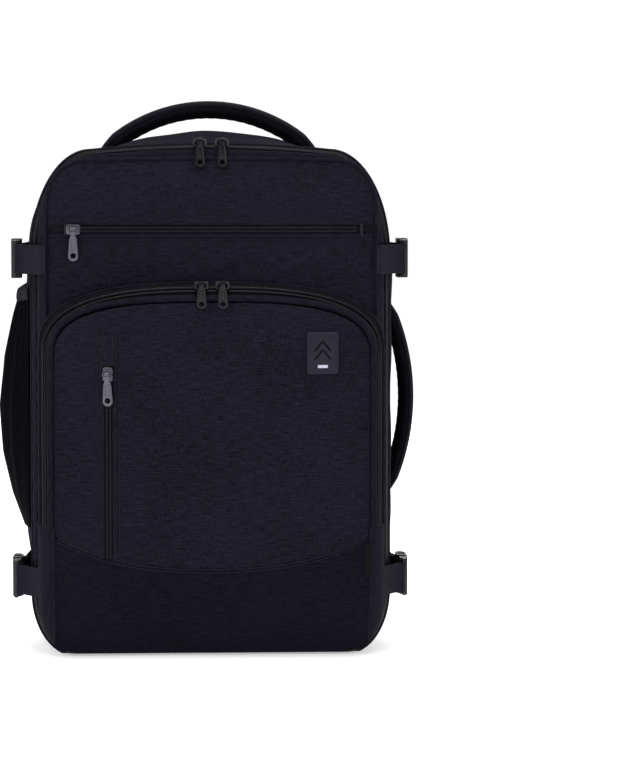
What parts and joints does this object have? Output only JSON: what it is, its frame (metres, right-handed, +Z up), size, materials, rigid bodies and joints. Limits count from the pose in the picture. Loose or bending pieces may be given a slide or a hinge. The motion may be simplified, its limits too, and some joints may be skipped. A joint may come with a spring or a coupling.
{
  "type": "travel backpack",
  "caption": "Soft travel backpack whose front opens like a door, with a laptop compartment, zipped front pocket, mesh bottle pocket, carry handles, buckled straps and padded shoulder straps.",
  "frame": {"origin": "centre of the flat base that the bag stands on", "axes": "+Z up, +Y towards the wearer's back, +X to the right seen from in front"},
  "size_m": [0.361, 0.3216, 0.473],
  "materials": {
    "navy_cloth": "matte",
    "handle_cloth": "matte",
    "padded_mesh_cloth": "matte",
    "mesh": "matte",
    "lining": "satin",
    "lining_mesh": "matte",
    "webbing": "matte",
    "zip_tape": "satin",
    "foam": "matte",
    "buckle_plastic": "satin",
    "gunmetal": "gloss",
    "rubber": "matte"
  },
  "bodies": {
    "bag_body": {"base_panel": "navy_cloth", "gusset_top": "navy_cloth", "gusset_left": "navy_cloth", "gusset_right": "navy_cloth", "divider_panel": "lining", "main_zip_rear_tape": "zip_tape", "laptop_zip": "zip_tape", "mesh_pocket": "mesh", "mesh_pocket_hem": "webbing", "top_handle": "handle_cloth", "side_handle": "handle_cloth", "compression_straps_right": "webbing", "hinge_side_short_straps": "webbing", "hinge_side_buckle_males": "buckle_plastic", "packing_straps": "webbing"},
    "laptop_door": {"back_panel": "padded_mesh_cloth", "back_foam": "foam", "rear_gusset": "navy_cloth", "compression_straps_left": "webbing", "shoulder_webbing_left": "webbing", "shoulder_webbing_right": "webbing"},
    "front_lid": {"lid_lining_panel": "lining", "lid_gusset": "navy_cloth", "lid_front_panel": "navy_cloth", "main_zip_front_tape": "zip_tape", "top_pocket_zip": "zip_tape", "pocket_gusset": "navy_cloth", "pocket_zip": "zip_tape", "lower_front_panel": "navy_cloth", "lid_short_straps": "webbing", "lid_buckle_males": "buckle_plastic", "inner_mesh_panel": "lining_mesh", "inner_zips": "zip_tape"},
    "pocket_flap": {"pocket_flap": "navy_cloth", "vertical_zip": "zip_tape", "rubber_patch": "rubber"},
    "top_pocket_slider": {"top_pocket_slider": "gunmetal"},
    "top_pocket_pull": {"top_pocket_pull": "gunmetal"},
    "main_left_slider": {"main_left_slider": "gunmetal"},
    "main_left_pull": {"main_left_pull": "gunmetal"},
    "main_right_slider": {"main_right_slider": "gunmetal"},
    "main_right_pull": {"main_right_pull": "gunmetal"},
    "pocket_left_slider": {"pocket_left_slider": "gunmetal"},
    "pocket_left_pull": {"pocket_left_pull": "gunmetal"},
    "pocket_right_slider": {"pocket_right_slider": "gunmetal"},
    "pocket_right_pull": {"pocket_right_pull": "gunmetal"},
    "vertical_slider": {"vertical_slider": "gunmetal"},
    "vertical_pull": {"vertical_pull": "gunmetal"},
    "laptop_slider": {"laptop_slider": "gunmetal"},
    "laptop_pull": {"laptop_pull": "gunmetal"},
    "inner_mesh_slider": {"inner_mesh_slider": "gunmetal"},
    "inner_pocket_slider": {"inner_pocket_slider": "gunmetal"},
    "buckle_female_lower_right": {"buckle_female_lower_right": "buckle_plastic"},
    "buckle_female_lower_left": {"buckle_female_lower_left": "buckle_plastic"},
    "buckle_female_upper_right": {"buckle_female_upper_right": "buckle_plastic"},
    "buckle_female_upper_left": {"buckle_female_upper_left": "buckle_plastic"},
    "shoulder_strap_right": {"shoulder_pad_right": "padded_mesh_cloth", "shoulder_adjuster_right": "buckle_plastic"},
    "shoulder_strap_left": {"shoulder_pad_left": "padded_mesh_cloth", "shoulder_adjuster_left": "buckle_plastic"}
  },
  "joints": [
    {"name": "front_lid_hinge", "type": "hinge", "parent": "bag_body", "child": "front_lid", "pos_m": [-0.1525, -0.092, 0], "axis": [0, 0, -1], "range_deg": [0, 105]},
    {"name": "laptop_door_hinge", "type": "hinge", "parent": "bag_body", "child": "laptop_door", "pos_m": [0.152, 0.06585, 0], "axis": [0, 0, -1], "range_deg": [0, 75]},
    {"name": "pocket_flap_hinge", "type": "hinge", "parent": "front_lid", "child": "pocket_flap", "pos_m": [0, -0.1612, 0.114], "axis": [1, 0, 0], "range_deg": [0, 75]},
    {"name": "top_pocket_slide", "type": "slide", "parent": "front_lid", "child": "top_pocket_slider", "axis": [1, 0, 0], "range_m": [0, 0.234]},
    {"name": "top_pocket_pull_hinge", "type": "hinge", "parent": "top_pocket_slider", "child": "top_pocket_pull", "pos_m": [-0.117, -0.1274, 0.366], "axis": [-1, 0, 0], "range_deg": [0, 100]},
    {"name": "main_left_slide", "type": "slide", "parent": "front_lid", "child": "main_left_slider", "axis": [-1, 0, 0], "range_m": [0, 0.09]},
    {"name": "main_left_pull_hinge", "type": "hinge", "parent": "main_left_slider", "child": "main_left_pull", "pos_m": [-0.0095, -0.0996, 0.4415], "axis": [-1, 0, 0], "range_deg": [0, 100]},
    {"name": "main_right_slide", "type": "slide", "parent": "front_lid", "child": "main_right_slider", "axis": [1, 0, 0], "range_m": [0, 0.09]},
    {"name": "main_right_pull_hinge", "type": "hinge", "parent": "main_right_slider", "child": "main_right_pull", "pos_m": [0.0095, -0.0996, 0.4415], "axis": [-1, 0, 0], "range_deg": [0, 100]},
    {"name": "pocket_left_slide", "type": "hinge", "parent": "pocket_flap", "child": "pocket_left_slider", "pos_m": [0, -0.1386, -0.10717], "axis": [0, -1, 0], "range_deg": [0, 11]},
    {"name": "pocket_left_pull_hinge", "type": "hinge", "parent": "pocket_left_slider", "child": "pocket_left_pull", "pos_m": [-0.009, -0.1386, 0.3206], "axis": [-1, 0, 0], "range_deg": [0, 100]},
    {"name": "pocket_right_slide", "type": "hinge", "parent": "pocket_flap", "child": "pocket_right_slider", "pos_m": [0, -0.1386, -0.10717], "axis": [0, 1, 0], "range_deg": [0, 11]},
    {"name": "pocket_right_pull_hinge", "type": "hinge", "parent": "pocket_right_slider", "child": "pocket_right_pull", "pos_m": [0.009, -0.1386, 0.3206], "axis": [-1, 0, 0], "range_deg": [0, 100]},
    {"name": "vertical_slide", "type": "slide", "parent": "pocket_flap", "child": "vertical_slider", "axis": [0, 0, -1], "range_m": [0, 0.1]},
    {"name": "vertical_pull_hinge", "type": "hinge", "parent": "vertical_slider", "child": "vertical_pull", "pos_m": [-0.08839, -0.15905, 0.245], "axis": [-0.9863, 0.1651, 0], "range_deg": [0, 100]},
    {"name": "laptop_slide", "type": "slide", "parent": "bag_body", "child": "laptop_slider", "axis": [-1, 0, 0], "range_m": [0, 0.1]},
    {"name": "laptop_pull_hinge", "type": "hinge", "parent": "laptop_slider", "child": "laptop_pull", "pos_m": [0, 0.064, 0.4429], "axis": [0, -1, 0], "range_deg": [0, 100]},
    {"name": "inner_mesh_slide", "type": "slide", "parent": "front_lid", "child": "inner_mesh_slider", "axis": [-1, 0, 0], "range_m": [0, 0.24]},
    {"name": "inner_pocket_slide", "type": "slide", "parent": "front_lid", "child": "inner_pocket_slider", "axis": [-1, 0, 0], "range_m": [0, 0.2]},
    {"name": "lower_right_buckle_release", "type": "slide", "parent": "bag_body", "child": "buckle_female_lower_right", "axis": [0, 1, 0], "range_m": [0, 0.045]},
    {"name": "lower_left_buckle_release", "type": "slide", "parent": "laptop_door", "child": "buckle_female_lower_left", "axis": [0, 1, 0], "range_m": [0, 0.045]},
    {"name": "upper_right_buckle_release", "type": "slide", "parent": "bag_body", "child": "buckle_female_upper_right", "axis": [0, 1, 0], "range_m": [0, 0.045]},
    {"name": "upper_left_buckle_release", "type": "slide", "parent": "laptop_door", "child": "buckle_female_upper_left", "axis": [0, 1, 0], "range_m": [0, 0.045]},
    {"name": "shoulder_strap_right_swing", "type": "hinge", "parent": "laptop_door", "child": "shoulder_strap_right", "pos_m": [0, 0.0952, 0.431], "axis": [1, 0, 0], "range_deg": [0, 25], "deforming": ["shoulder_webbing_right"]},
    {"name": "shoulder_strap_left_swing", "type": "hinge", "parent": "laptop_door", "child": "shoulder_strap_left", "pos_m": [0, 0.0952, 0.431], "axis": [1, 0, 0], "range_deg": [0, 25], "deforming": ["shoulder_webbing_left"]}
  ]
}
